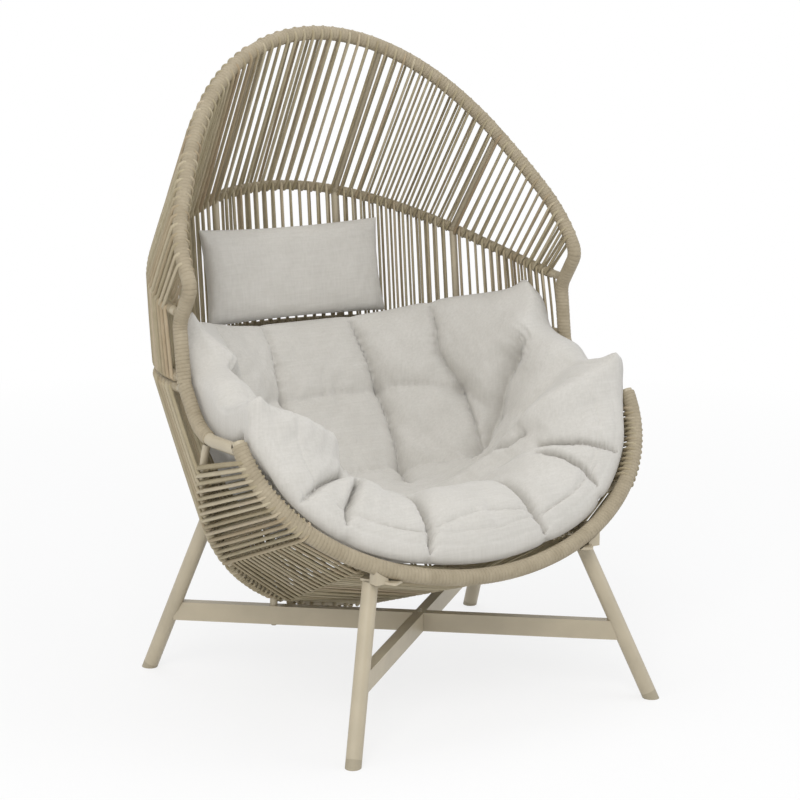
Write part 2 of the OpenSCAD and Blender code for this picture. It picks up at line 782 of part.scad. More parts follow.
module arm_cords() {
  difference() {
    union() {
      hoop_path(10, 11, hoop_r, rim_r + 0.02);
      for (side = [1, -1], f = spots(arm_bay, side < 0)) {
        a = hoop_pt(lerp(5, hoop_a, f));
        b = under_pt(lerp(5, under_a, f));
        strand(a, rim_r + 0.4, b, rib_r + fit, [1, 0, -0.4], side);
      }
    }
    rib_skin();
  }
}
module arm_cords_right() { color(cordc) placed() arm_cords(); }
module arm_cords_left() { color(cordc) placed() mirror([1, 0, 0]) arm_cords(); }
rail_a = [hoop_pt(hoop_a)[0], under_pt(under_a)[0]];
rail_b = [hoop_pt(hoop_b)[0], under_pt(under_b)[0]];
rail_c = [hoop_pt(90)[0], under_pt(90)[0]];
function on_rib(l, f) = [lerp(l[0], l[1], f), unit(l[1] - l[0])];
module base_bay(l, m, extra, shift) {
  l0 = on_rib(l, 0.045)[0];
  l1 = on_rib(l, 0.97)[0];
  difference() {
    bar(l0, l1, rib_r + tie_t);
    bar(l[0], l[1], rib_r + 0.02);
  }
  for (side = [1, -1], k = [1:base_bay]) {
    f = 0.06 + 0.89 * (k - (side > 0 ? 0.5 : 0) + shift) / (base_bay + 0.25);
    strand(on_rib(l, f), rib_r + 0.05, on_rib(m, f), rib_r + extra + fit, [0, 0, -1], side);
  }
}
module base_cords_right() { color(cordc) placed() base_bay(rail_a, rail_b, tie_t, 0); }
module base_cords_inner_right() { color(cordc) placed() base_bay(rail_b, rail_c, 0, 0); }
module base_cords_left() { color(cordc) placed() mirror([1, 0, 0]) base_bay(rail_a, rail_b, tie_t, 0); }
module base_cords_inner_left() {
  color(cordc) placed() mirror([1, 0, 0]) base_bay(rail_b, rail_c, 0, 0.25);
}

// Cushions
function closed_faces(n, m) = concat(
  [for (i = [0:m - 2], k = [0:n - 1]) let (l = (k + 1) % n)
    [i * n + k, i * n + l, (i + 1) * n + l, (i + 1) * n + k]],
  [[for (k = [n - 1:-1:0]) k], [for (k = [0:n - 1]) (m - 1) * n + k]]);
seat_mid = [0, 20, 350];
seat_rim = [[0, -316, 356], [200, -275, 380], [330, -222, 425], [405, -150, 510],
  [432, -112, 630], [425, -20, 690], [408, 150, 785], [330, 300, 745], [180, 405, 712],
  [0, 440, 702]];
seams = [15, 36, 70, 110, 144, 165, 200, 240, 293, 340];
tufts = [[100, 285], [-100, 285], [262, 215], [-262, 215], [95, 160], [-95, 160],
  [235, 70], [-235, 70], [0, -40], [190, -110], [-190, -110]];
function knot(i) = seat_rim[i < 0 ? -i : (i > 9 ? 18 - i : i)]
  * (i < 0 || i > 9 ? [[-1, 0, 0], [0, 1, 0], [0, 0, 1]] : [[1, 0, 0], [0, 1, 0], [0, 0, 1]]);
function spline(a, b, c, d, f) = b + f * (c - a) / 2 + f * f * (a - 2.5 * b + 2 * c - d / 2)
  + f * f * f * (b * 1.5 - a / 2 - 1.5 * c + d / 2);
function seat_edge_half(q) = let (i = min(8, floor(q)))
  spline(knot(i - 1), knot(i), knot(i + 1), knot(i + 2), q - i);
function seat_edge(k) = let (q = k * 9 / 22)
  k <= 22 ? seat_edge_half(q) : let (e = seat_edge_half(18 - q)) [-e[0], e[1], e[2]];
function bump(d, w) = exp(-d * d / (w * w));
function swing(p) = atan2(p[1] - seat_mid[1], p[0]);
function gap_angle(a, b) = let (d = abs(a - b) % 360) min(d, 360 - d);
function climb(e) = let (a = swing(e)) 2.6 + 1.1 * pow(cos(a), 2);
function seat_face(k, f) = let (e = seat_edge(k), front = max(0, -sin(swing(e))))
  [e[0] * f, lerp(seat_mid[1], e[1], f), lerp(seat_mid[2], e[2], pow(f, climb(e)))
    + 26 * front * bump(f - 0.78, 0.22)];
function seat_normal(k, f) = unit(cross(seat_face(k, f + 0.01) - seat_face(k, f - 0.01),
  seat_face(k + 0.05, f) - seat_face(k - 0.05, f)));
function quilt(p, f) = 1 - 0.32 * max([for (a = seams) bump(gap_angle(swing(p), a), 5.5)])
  * bump(1 - f, 0.5) - 0.5 * max([for (t = tufts) bump(norm([p[0], p[1]] - t), 40)]);
function seat_top(k, f) = let (p = seat_face(k, f))
  p + seat_normal(k, f) * seat_t / 2 * sqrt(1 - pow(f, 7)) * quilt(p, f);
function seat_under(k, f) = seat_face(k, f) - seat_normal(k, f) * 90 * (1 - f * f);
module seat_cushion() {
  n = 44;
  rows = [0.06, 0.16, 0.27, 0.38, 0.48, 0.58, 0.67, 0.76, 0.84, 0.91, 0.96];
  points = [for (f = rows, k = [0:n - 1]) seat_top(k, f)];
  edge = [for (k = [0:n - 1]) seat_face(k, 1)];
  lower = [for (i = [len(rows) - 1:-1:0], k = [0:n - 1]) seat_under(k, rows[i])];
  color(cloth) placed()
    polyhedron(points = concat(points, edge, lower), faces = closed_faces(n, 2 * len(rows) + 1));
}
function curl(a) = sign(a) * pow(abs(a), 0.35);
module head_pillow() {
  n = 40;
  rows = [for (i = [0:10]) -cos(7 + i * 16.6)];
  points = [for (v = rows, k = [0:n - 1]) let (a = k * 360 / n, u = curl(cos(a)),
    h = sqrt(1 - pow(abs(v), 5)))
    [u * pillow_w / 2 * h, sin(a) * pillow_t / 2 * sqrt(1 - pow(abs(v), 4)) - 28 * u * u,
     v * pillow_h / 2]];
  color(cloth) placed()
    translate([0, 484, 818])
      rotate([-11, 0, 0])
        polyhedron(points = points, faces = closed_faces(n, len(rows)));
}

leg_front_left();
leg_front_right();
leg_rear_left();
leg_rear_right();
foot_glides();
rail_long();
rail_crossing();
centre_bolt();
front_saddles();
rear_saddles();
saddle_bolts();
hoop_spacers();
hoop_bolts();
front_hoop();
hoop_end_caps();
seat_side_left();
seat_side_right();
under_hoop();
seat_back_ring();
seat_base_ribs();
seat_back_ribs();
joining_pins();
hood_arch();
hood_mid_ring();
hood_lower_ring();
hood_upper_ribs();
hood_lower_ribs();
hood_post_wrap_left();
hood_post_wrap_right();
seat_post_wrap_left();
seat_post_wrap_right();
front_hoop_wrap();
hood_upper_cords_left();
hood_upper_cords_mid_left();
hood_upper_cords_centre();
hood_upper_cords_mid_right();
hood_upper_cords_right();
hood_lower_cords_left();
hood_lower_cords_mid_left();
hood_lower_cords_centre();
hood_lower_cords_mid_right();
hood_lower_cords_right();
back_cords_left();
back_cords_mid_left();
back_cords_centre();
back_cords_mid_right();
back_cords_right();
arm_cords_left();
arm_cords_right();
base_cords_left();
base_cords_inner_left();
base_cords_inner_right();
base_cords_right();
seat_cushion();
head_pillow();
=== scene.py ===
import json
import math
import random
import bmesh
import bpy
import numpy as np
from mathutils import Matrix, Vector


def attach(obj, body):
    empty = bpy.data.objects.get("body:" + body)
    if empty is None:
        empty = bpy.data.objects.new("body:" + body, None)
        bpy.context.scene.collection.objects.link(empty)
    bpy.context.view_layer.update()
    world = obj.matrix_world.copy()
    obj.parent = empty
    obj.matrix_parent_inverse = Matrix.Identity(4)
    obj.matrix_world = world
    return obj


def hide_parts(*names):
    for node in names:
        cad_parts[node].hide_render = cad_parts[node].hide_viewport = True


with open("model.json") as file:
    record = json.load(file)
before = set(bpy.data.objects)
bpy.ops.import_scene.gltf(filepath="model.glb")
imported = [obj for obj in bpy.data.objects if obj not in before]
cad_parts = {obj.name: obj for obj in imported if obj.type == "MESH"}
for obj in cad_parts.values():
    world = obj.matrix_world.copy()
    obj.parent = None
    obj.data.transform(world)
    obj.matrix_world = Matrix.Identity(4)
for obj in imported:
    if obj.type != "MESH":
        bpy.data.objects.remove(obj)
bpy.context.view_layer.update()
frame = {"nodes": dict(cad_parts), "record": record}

scene = bpy.context.scene


# ---------------------------------------------------------------- sizes
# In millimetres, with angles in degrees unless turned to radians. Members lie where the CAD has them.
SIDE_X, RAKE, OPENING_Y = 476.0, math.radians(34), 535.0
HOOP_TOP_Z, HOOP_DROP = 600.0, 344.0
ARCH_MID_Z, ARCH_RISE, ARCH_X = 780.0, 688.0, 481.0
ELBOW_Z, SPLIT_Z, POST_Y = 876.0, 679.0, 90.0
ELBOW_BEND, KNEE_BEND, ARM_TUBE_BEND = 30, 45, 110
RING_REACH, MID_RISE = 455.0, 185.0
UNDER_R, UNDER_LEAN, UNDER_DROP = 476.0, math.radians(22.15), 28
# Radii: inside of the rim windings, arch and hoop with theirs, ribs, rings and a strand
RIM_R, ARCH_R, HOOP_R, RIB_R, RING_R, CORD_R = 12.5, 15.0, 16.5, 8.0, 9.0, 3.25
# A ring winding's thickness, and how far a strand stands off its second and its first member
TIE_T, FIT, TOUCH = 2.0, 0.15, 0.05
# Where the ribs meet the arch and rings, the front hoop, and the under hoop
RIB_A, RIB_B = 37.5, 71.0
HOOP_A, HOOP_B = 36.0, 52.8
UNDER_A, UNDER_B = 39.7, 63.5
MID_Y = 102.25                          # y of the box's middle, where the frame has its origin
TAN_R, SIN_R, COS_R = math.tan(RAKE), math.sin(RAKE), math.cos(RAKE)
# Strands in one layer of a bay and of an arm panel, where the other layer has one more, and how far
# from its ends a ring carries them
BAY_STRANDS, ARM_STRANDS, RING_CUT = 13, 14, 22
STRAND_U = 2000.0    # each strand starts on its own stretch of the map, which gives it its own tone


def v3(x, y, z):
    return np.array([x, y, z], float)


FLIP = v3(-1, 1, 1)
SIDES = (v3(1, 1, 1), FLIP)


def unit(v):
    return v / np.linalg.norm(v)


def lerp(a, b, f):
    return a + (b - a) * f


# ---------------------------------------------------------------- arcs, as in the CAD
def perp(v):
    return np.array([-v[1], v[0]])


def arc_by(p, t, m, a, b):
    w, n = m - p, perp(t)
    s = (w @ w) / (2 * (n @ w))
    c = p + n * s
    a0 = math.atan2(a[1] - c[1], a[0] - c[0])
    a1 = math.atan2(b[1] - c[1], b[0] - c[0])
    if a1 < a0:
        a1 += 2 * math.pi
    return (c[0], c[1], abs(s), a0, a1)


def biarc(n0, n1):
    (p0, t0), (p1, t1) = n0, n1
    v, t = p1 - p0, t0 + t1
    k = 2 * (1 - t0 @ t1)
    d = (math.sqrt((v @ t) ** 2 + k * (v @ v)) - v @ t) / k
    m = (p0 + d * t0 + p1 - d * t1) / 2
    return [arc_by(p0, t0, m, p0, m), arc_by(p1, t1, m, m, p1)]


def arc_run(nodes):
    return [a for i in range(len(nodes) - 1) for a in biarc(nodes[i], nodes[i + 1])]


def arc_len(a):
    return a[2] * (a[4] - a[3])


def run_len(arcs):
    return sum(arc_len(a) for a in arcs)


def run_at(arcs, s):
    for i, a in enumerate(arcs):
        if s <= arc_len(a) or i == len(arcs) - 1:
            g = a[3] + s / a[2]
            return a[0] + a[2] * math.cos(g), a[1] + a[2] * math.sin(g), g
        s -= arc_len(a)


def oval_node(a, b, t):
    t = math.radians(t)
    return (np.array([a * math.cos(t), b * math.sin(t)]),
            unit(np.array([-a * math.sin(t), b * math.cos(t)])))


ELBOW = np.array([TAN_R * ELBOW_Z - OPENING_Y, ELBOW_Z])
KNEE = np.array([POST_Y + 16, SPLIT_Z + 121])
POST = np.array([POST_Y, SPLIT_Z])
ARM_END = np.array([TAN_R * (HOOP_TOP_Z - 13) - OPENING_Y, HOOP_TOP_Z - 13])
ARM_BEND = np.array([POST_Y - 68, HOOP_TOP_Z - 16])
RIM_LINE = np.array([SIN_R, COS_R])


def turn(a, b):
    u, w = unit(a), unit(b)
    return math.atan2(u[0] * w[1] - u[1] * w[0], u @ w)


ELBOW_TURN = abs(turn(-RIM_LINE, KNEE - ELBOW))
ELBOW_START = ELBOW_BEND * math.tan(ELBOW_TURN / 2)
ARCH_FROM = (ELBOW_Z - ARCH_MID_Z) / COS_R + ELBOW_START + 6
half = [(np.array([SIDE_X, ARCH_FROM]), np.array([0.0, 1.0])),
        oval_node(ARCH_X, ARCH_RISE, RIB_A), oval_node(ARCH_X, ARCH_RISE, RIB_B)]
mirror_half = [(np.array([-p[0], p[1]]), np.array([t[0], -t[1]])) for p, t in reversed(half)]
ARCH = arc_run(half + [oval_node(ARCH_X, ARCH_RISE, 90)] + mirror_half)
RING = arc_run([oval_node(SIDE_X, RING_REACH, t)
                for t in (0, RIB_A, RIB_B, 90, 180 - RIB_B, 180 - RIB_A, 180)])


# ---------------------------------------------------------------- points and directions on each member
def rim_at(q, zc):
    z = zc + q[1] * COS_R
    return v3(q[0], TAN_R * z - OPENING_Y, z)


def rim_dir(q):
    return v3(q[0], q[1] * SIN_R, q[1] * COS_R)


def arch_pt(s):
    x, y, g = run_at(ARCH, s)
    return rim_at((x, y), ARCH_MID_Z), rim_dir((-math.sin(g), math.cos(g)))


def hoop_pt(t):
    c, s = math.cos(math.radians(t)), math.sin(math.radians(t))
    return (rim_at((SIDE_X * c, -HOOP_DROP * s), HOOP_TOP_Z),
            unit(rim_dir((-SIDE_X * s, -HOOP_DROP * c))))


def ring_pt(s, z):
    x, y, g = run_at(RING, s)
    return v3(x, POST_Y + y, z), v3(-math.sin(g), math.cos(g), 0)


def under_pt(t):
    c, s = math.cos(math.radians(t)), math.sin(math.radians(t))
    return (v3(UNDER_R * c, UNDER_R * s * math.sin(UNDER_LEAN),
               HOOP_TOP_Z - UNDER_DROP - UNDER_R * s * math.cos(UNDER_LEAN)),
            v3(-s, c * math.sin(UNDER_LEAN), -c * math.cos(UNDER_LEAN)))


def mid_p(t):
    c, s = math.cos(math.radians(t)), math.sin(math.radians(t))
    return v3(SIDE_X * c, KNEE[0] + (RING_REACH + 11) * s, KNEE[1] + 19 + MID_RISE * abs(s) ** 1.6)


def mid_pt(t):
    return mid_p(t), unit(mid_p(t + 0.5) - mid_p(t - 0.5))


HOOD_RING_Z = SPLIT_Z + RING_R + TIE_T
SEAT_RING_Z = SPLIT_Z - RING_R - TIE_T
# Each bay: its first and last arc on arch and ring, then its angles on the middle ring and under hoop
BAYS = [(0, 1, 4, RIB_A, 5, UNDER_A), (2, 3, RIB_A, RIB_B, UNDER_A, UNDER_B),
        (4, 7, RIB_B, 180 - RIB_B, UNDER_B, 180 - UNDER_B),
        (8, 9, 180 - RIB_B, 180 - RIB_A, 180 - UNDER_B, 180 - UNDER_A),
        (10, 11, 180 - RIB_A, 176, 180 - UNDER_A, 175)]
BAY_NAMES = ["right", "mid_right", "centre", "mid_left", "left"]


def bay_s(arcs, i, f, cut):
    s0 = cut if BAYS[i][0] == 0 else run_len(arcs[:BAYS[i][0]])
    s1 = run_len(arcs[:BAYS[i][1] + 1]) - (cut if i == 4 else 0)
    return lerp(s0, s1, f)


def spots(n, full):
    """Where n strands stand along a bay, or the n + 1 that stand half a pitch off them."""
    first, count = (1, n) if full else (0.5, n + 1)
    return [(first + k) / (n + 1) for k in range(count)]


def to_frame(p):
    """Millimetres on the axes of the CAD source to metres in the row frame."""
    p = np.asarray(p, float)
    return np.stack([p[..., 0], p[..., 1] - MID_Y, p[..., 2]], -1) * 0.001


# ---------------------------------------------------------------- mesh builders
def add_piece(name, mesh, material, replaces=()):
    mesh.polygons.foreach_set("use_smooth", [True] * len(mesh.polygons))
    mesh.materials.append(material)
    obj = bpy.data.objects.new(name, mesh)
    scene.collection.objects.link(obj)
    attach(obj, "root")
    if replaces:
        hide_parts(*replaces)
    return obj


def run_of(pts):
    """The length run from the first point up to each one."""
    return np.concatenate([[0], np.cumsum(np.linalg.norm(np.diff(pts, axis=0), axis=1))])


class Mesh:
    """Gathers swept tubes into one mesh with a length-and-girth UV map in metres."""

    def __init__(self):
        self.v, self.f, self.uv, self.n = [], [], [], 0

    def sweep(self, pts, radii, sides=8, flat=1.0, up=None, tilt=0.0, u0=0.0):
        """A tube of rings along pts. The rings lean by tilt, and the map starts at u0."""
        pts = np.asarray(pts, float)
        n = len(pts)
        radii = np.full(n, radii, float) if np.isscalar(radii) else np.asarray(radii, float)
        tan = np.gradient(pts, axis=0)
        tan /= np.linalg.norm(tan, axis=1)[:, None]
        ref = v3(0, 0, 1) if up is None else up
        if abs(tan[0] @ ref) > 0.95:
            ref = v3(1, 0, 0)
        a = unit(ref - tan[0] * (ref @ tan[0]))
        across = np.empty((n, 3))
        for i in range(n):
            a = unit(a - tan[i] * (a @ tan[i]))
            across[i] = a
        other = np.cross(tan, across)
        ang = np.arange(sides) * 2 * math.pi / sides
        c, s = np.cos(ang), np.sin(ang)
        ring = (pts[:, None] + radii[:, None, None] * (
            across[:, None] * (c[None, :, None] * flat) + other[:, None] * s[None, :, None])
            + tan[:, None] * (tilt * s)[None, :, None])
        length = run_of(pts) + u0
        base = self.n
        self.v.append(ring.reshape(-1, 3))
        girth = 2 * math.pi * float(radii.mean())
        for i in range(n - 1):
            for k in range(sides):
                m = (k + 1) % sides
                self.f.append((base + i * sides + k, base + (i + 1) * sides + k,
                               base + (i + 1) * sides + m, base + i * sides + m))
                k0, k1 = k / sides * girth, (k + 1) / sides * girth
                u_a, u_b = length[i], length[i + 1]
                self.uv += [(u_a, k0), (u_b, k0), (u_b, k1), (u_a, k1)]
        self.f.append(tuple(base + k for k in range(sides)))
        self.uv += [(length[0], 0)] * sides
        self.f.append(tuple(base + (n - 1) * sides + k for k in reversed(range(sides))))
        self.uv += [(length[-1], 0)] * sides
        self.n += n * sides

    def make(self, name, material, replaces=()):
        mesh = bpy.data.meshes.new(name)
        mesh.from_pydata(to_frame(np.concatenate(self.v)).tolist(), [], self.f)
        layer = mesh.uv_layers.new(name="UVMap")
        layer.data.foreach_set("uv", (np.array(self.uv, float) * 0.001).ravel())
        mesh.update()
        return add_piece(name, mesh, material, replaces)


# ---------------------------------------------------------------- materials
def srgb(r, g, b):
    def lin(c):
        c /= 255
        return c / 12.92 if c <= 0.04045 else ((c + 0.055) / 1.055) ** 2.4
    return (lin(r), lin(g), lin(b), 1)


class Nodes:
    """A small helper for building a material's node tree."""

    def __init__(self, name):
        self.mat = bpy.data.materials.new(name)
        self.mat.use_nodes = True
        self.tree = self.mat.node_tree
        self.tree.nodes.clear()
        self.out = self.new("ShaderNodeOutputMaterial")
        self.bsdf = self.new("ShaderNodeBsdfPrincipled")
        self.link(self.bsdf.outputs[0], self.out.inputs[0])

    def new(self, kind, **values):
        node = self.tree.nodes.new(kind)
        for key, val in values.items():
            if hasattr(node, key):
                setattr(node, key, val)
            else:
                node.inputs[key.replace("_", " ")].default_value = val
        return node

    def link(self, a, b):
        self.tree.links.new(a, b)

    def surface(self, **values):
        for key, val in values.items():
            self.bsdf.inputs[key.replace("_", " ")].default_value = val

    def coords(self, kind="Object"):
        return self.new("ShaderNodeTexCoord").outputs[kind]

    def noise(self, vector, scale, detail=3.0, rough=0.5):
        node = self.new("ShaderNodeTexNoise")
        node.inputs["Scale"].default_value = scale
        node.inputs["Detail"].default_value = detail
        node.inputs["Roughness"].default_value = rough
        self.link(vector, node.inputs["Vector"])
        return node.outputs["Fac"]

    def math(self, op, a, b=0.0, clamp=False):
        node = self.new("ShaderNodeMath", operation=op, use_clamp=clamp)
        for i, x in enumerate((a, b)):
            if isinstance(x, (int, float)):
                node.inputs[i].default_value = x
            else:
                self.link(x, node.inputs[i])
        return node.outputs[0]

    def ramp(self, fac, stops):
        node = self.new("ShaderNodeValToRGB")
        els = node.color_ramp.elements
        while len(els) < len(stops):
            els.new(0.5)
        for el, (pos, col) in zip(els, stops):
            el.position, el.color = pos, col
        self.link(fac, node.inputs[0])
        return node.outputs[0]

    def mix(self, fac, a, b, mode="MIX"):
        node = self.new("ShaderNodeMix", data_type="RGBA", blend_type=mode)
        for sock, x in ((node.inputs[0], fac), (node.inputs[6], a), (node.inputs[7], b)):
            if isinstance(x, (int, float, tuple)):
                sock.default_value = x
            else:
                self.link(x, sock)
        return node.outputs[2]

    def bump(self, height, strength, distance):
        node = self.new("ShaderNodeBump")
        node.inputs["Strength"].default_value = strength
        node.inputs["Distance"].default_value = distance
        self.link(height, node.inputs["Height"])
        self.link(node.outputs[0], self.bsdf.inputs["Normal"])

    def chance(self, value, seed):
        """A random number from 0 to 1 for each value."""
        node = self.new("ShaderNodeTexWhiteNoise", noise_dimensions="1D")
        self.link(self.math("ADD", value, seed), node.inputs["W"])
        return node.outputs["Value"]

    def wave(self, coord, period):
        """A wave from 0 to 1 along a coordinate in metres."""
        s = self.math("SINE", self.math("MULTIPLY", coord, 2 * math.pi / period))
        return self.math("ADD", self.math("MULTIPLY", s, 0.5), 0.5)


def shaded(colour, share):
    return tuple(c * share for c in colour[:3]) + (1,)


def painted(name, colour, rough=0.42, dark=0.86):
    """Fine powder coat or plastic, with a slow change of shade and of shine."""
    n = Nodes(name)
    co = n.coords()
    broad = n.noise(co, 9.0, 4.0)
    fine = n.noise(co, 420.0, 2.0)
    shade = n.ramp(broad, [(0.35, shaded(colour, dark)), (0.65, colour)])
    n.link(shade, n.bsdf.inputs["Base Color"])
    r = n.math("ADD", n.math("MULTIPLY", n.noise(co, 60.0, 3.0), 0.14), rough - 0.07)
    n.link(r, n.bsdf.inputs["Roughness"])
    n.bump(fine, 0.25, 0.0003)
    return n.mat


# Tones that a strand may take a share of: the seed, the power and the colour of each
STRAND_TONES = [(0.37, 1.0, srgb(128, 112, 84)), (5.11, 4.0, srgb(168, 140, 114)),
                (9.73, 3.0, srgb(214, 203, 180))]


def cord_material(name, light, dark, stripe=0.0016, spread=0.0):
    """Flat resin cord: fine lengthwise ribs with painted shade darkening the grooves between them, a
    faint cross grain, a slow change of tone, and a tone for each strand that differs by spread."""
    n = Nodes(name)
    uv = n.new("ShaderNodeSeparateXYZ")
    n.link(n.coords("UV"), uv.inputs[0])
    along, around = uv.outputs[0], uv.outputs[1]
    ribs = n.wave(around, stripe)
    twill = n.wave(n.math("ADD", along, n.math("MULTIPLY", around, 0.8)), 0.0021)
    co = n.coords()
    slow = n.noise(co, 34.0, 4.0, 0.6)
    fine = n.noise(co, 900.0, 2.0)
    base = n.ramp(slow, [(0.3, dark), (0.7, light)])
    if spread:
        strand = n.math("FLOOR", n.math("DIVIDE", n.math("ADD", along, 0.3), STRAND_U / 1000))
        for seed, power, tone in STRAND_TONES:
            share = n.math("POWER", n.chance(strand, seed), power)
            base = n.mix(n.math("MULTIPLY", share, spread), base, tone)
    # painted shade: the grooves between the ribs are darkened toward a deeper copy of the dark tone,
    # as if the ribs shadowed them
    groove = n.math("MULTIPLY", n.math("SUBTRACT", 1.0, ribs), 0.22)
    n.link(n.mix(groove, base, shaded(dark, 0.55)), n.bsdf.inputs["Base Color"])
    n.surface(Roughness=0.62, Specular_IOR_Level=0.35)
    grain = n.math("ADD", n.math("MULTIPLY", twill, 0.35), n.math("MULTIPLY", fine, 0.25))
    n.bump(n.math("ADD", n.math("MULTIPLY", ribs, 0.7), grain), 0.55, 0.0005)
    return n.mat


def cloth_material(name, light, dark):
    """Plain linen-look weave with slubs, a soft sheen and a slow change of tone."""
    n = Nodes(name)
    co = n.coords()
    sep = n.new("ShaderNodeSeparateXYZ")
    n.link(co, sep.inputs[0])
    x, y, z = sep.outputs
    period = 0.0017
    warp = n.wave(x, period)
    weft = n.wave(n.math("ADD", z, n.math("MULTIPLY", y, 0.9)), period)
    weave = n.math("MAXIMUM", warp, weft)
    slubs = []
    for squash in ((1.0, 1.0, 0.06), (0.06, 1.0, 1.0)):
        stretch = n.new("ShaderNodeMapping")
        stretch.inputs["Scale"].default_value = squash
        n.link(co, stretch.inputs[0])
        slubs.append(n.noise(stretch.outputs[0], 260.0, 2.0))
    slub = n.math("MULTIPLY", n.math("ADD", *slubs), 0.5)
    cloudy = n.math("MULTIPLY", n.noise(co, 14.0, 4.0), 0.3)
    tone = n.math("ADD", n.math("MULTIPLY", slub, 0.7), cloudy)
    n.link(n.ramp(tone, [(0.34, dark), (0.66, light)]), n.bsdf.inputs["Base Color"])
    n.surface(Roughness=0.9, Specular_IOR_Level=0.2, Sheen_Weight=0.25, Sheen_Roughness=0.5)
    fluff = n.math("MULTIPLY", n.noise(co, 700.0, 2.0), 0.3)
    rough = n.math("ADD", n.math("MULTIPLY", slub, 0.6), fluff)
    n.bump(n.math("ADD", n.math("MULTIPLY", weave, 0.5), rough), 0.35, 0.0006)
    return n.mat


MAT_STEEL = painted("frame_paint", srgb(182, 171, 148))
MAT_BOLT = painted("bolt_paint", srgb(160, 150, 128), 0.38)
MAT_GLIDE = painted("glide_plastic", srgb(166, 156, 134), 0.55)
MAT_CAP = painted("cap_plastic", srgb(180, 169, 144), 0.5)
MAT_CORD = cord_material("cord_strands", srgb(184, 173, 145), srgb(163, 152, 123), spread=0.42)
MAT_WRAP = cord_material("cord_winding", srgb(172, 160, 137), srgb(155, 143, 120), 0.0014)
MAT_CLOTH = cloth_material("cushion_cloth", srgb(203, 200, 194), srgb(191, 188, 181))

BY_SLOT = {"frame": MAT_STEEL, "cord": MAT_CORD, "glide_plastic": MAT_GLIDE,
           "cap_plastic": MAT_CAP, "fastener": MAT_BOLT, "cushion_fabric": MAT_CLOTH}
for sub in frame["record"]["subparts"]:
    node = frame["nodes"][sub["node"]]
    node.data.materials.clear()
    node.data.materials.append(BY_SLOT[sub["material_slot"]])


# ---------------------------------------------------------------- cord strands
def tie_point(pt, d, r, out, side):
    """Where a strand that runs along d leaves a member, and which way is out there."""
    n = unit(np.cross(pt[1], d))
    if n @ out < 0:
        n = -n
    return pt[0] + n * side * (r + CORD_R), n * side


# A strand's end: how far it turns round its member, and how far it sinks on the way
WOUND, BARE = (62, CORD_R + 0.9), (112, 2.0)
HOOK_STEPS, SPAN_POINTS = 7, 9
PLAY = 0.8


def strand_path(a, ra, b, rb, out, side, rng, end_a=WOUND, end_b=WOUND, slack=1.2):
    """From round one member, straight across with a little play, to round the other."""
    d = unit(b[0] - a[0])
    pa, na = tie_point(a, d, ra, out, side)
    pb, nb = tie_point(b, d, rb, out, side)

    def hook(member, radius, n, end, way, step):
        g = math.radians(end[0]) * step / HOOK_STEPS
        r = radius + CORD_R - end[1] * step / HOOK_STEPS
        return member[0] + n * r * math.cos(g) + way * d * r * math.sin(g)

    jitter = unit(np.cross(d, na)) * rng.uniform(-PLAY, PLAY)
    bow = na * rng.uniform(-0.4, 1.0) * slack
    path = [hook(a, ra, na, end_a, -1, i) for i in range(HOOK_STEPS, 0, -1)]
    for i in range(SPAN_POINTS):
        f = i / (SPAN_POINTS - 1)
        path.append(lerp(pa, pb, f) + (jitter + bow) * (4 * f * (1 - f)))
    path += [hook(b, rb, nb, end_b, 1, i) for i in range(1, HOOK_STEPS + 1)]
    return path, na


def add_strand(mesh, a, ra, b, rb, out, side, rng, broad=1.3, **kw):
    path, n = strand_path(a, ra, b, rb, out, side, rng, **kw)
    radius = CORD_R * broad * rng.uniform(0.95, 1.06)
    mesh.sweep(path, radius, flat=0.9 / broad, up=n, u0=STRAND_U * rng.randrange(4000))


def away(p):
    return v3(p[0], p[1] - POST_Y, 0)


def mirrored(pt):
    return pt[0] * FLIP, pt[1] * FLIP


def as_it_is(pt):
    return pt


rng = random.Random(7)
for i, bay in enumerate(BAY_NAMES):
    mid_from, mid_to, under_from, under_to = BAYS[i][2:]
    upper, lower, back = Mesh(), Mesh(), Mesh()
    for side in (1, -1):
        for f in spots(BAY_STRANDS, side > 0):
            a, b = arch_pt(bay_s(ARCH, i, f, 0)), mid_pt(lerp(mid_from, mid_to, f))
            add_strand(upper, a, RIM_R + TOUCH, b, RING_R + FIT, away(b[0]), side, rng)
        for f in spots(BAY_STRANDS, side < 0):
            a = ring_pt(bay_s(RING, i, f, RING_CUT), HOOD_RING_Z)
            b = mid_pt(lerp(mid_from, mid_to, f))
            add_strand(lower, a, RING_R + TOUCH, b, RING_R + FIT, away(b[0]), side, rng)
        for f in spots(BAY_STRANDS, side > 0):
            a = ring_pt(bay_s(RING, i, f, RING_CUT), SEAT_RING_Z)
            b = under_pt(lerp(under_from, under_to, f))
            add_strand(back, a, RING_R + TOUCH, b, RIB_R + FIT, away(a[0]), side, rng, end_b=BARE)
    upper.make("hood_upper_cord_" + bay, MAT_CORD, ["hood_upper_cords_" + bay])
    lower.make("hood_lower_cord_" + bay, MAT_CORD, ["hood_lower_cords_" + bay])
    back.make("back_cord_" + bay, MAT_CORD, ["back_cords_" + bay])

for name, side_of, sign in (("right", as_it_is, 1), ("left", mirrored, -1)):
    panel = Mesh()
    for side in (1, -1):
        for f in spots(ARM_STRANDS, side < 0):
            a = side_of(hoop_pt(lerp(5, HOOP_A, f)))
            b = side_of(under_pt(lerp(5, UNDER_A, f)))
            add_strand(panel, a, RIM_R + 0.4, b, RIB_R + FIT, v3(sign, 0, -0.4), side, rng,
                       broad=1.55, end_b=BARE)
    panel.make("arm_cord_" + name, MAT_CORD, ["arm_cords_" + name])


def on_rib(rib, f):
    return lerp(rib[0], rib[1], f), unit(rib[1] - rib[0])


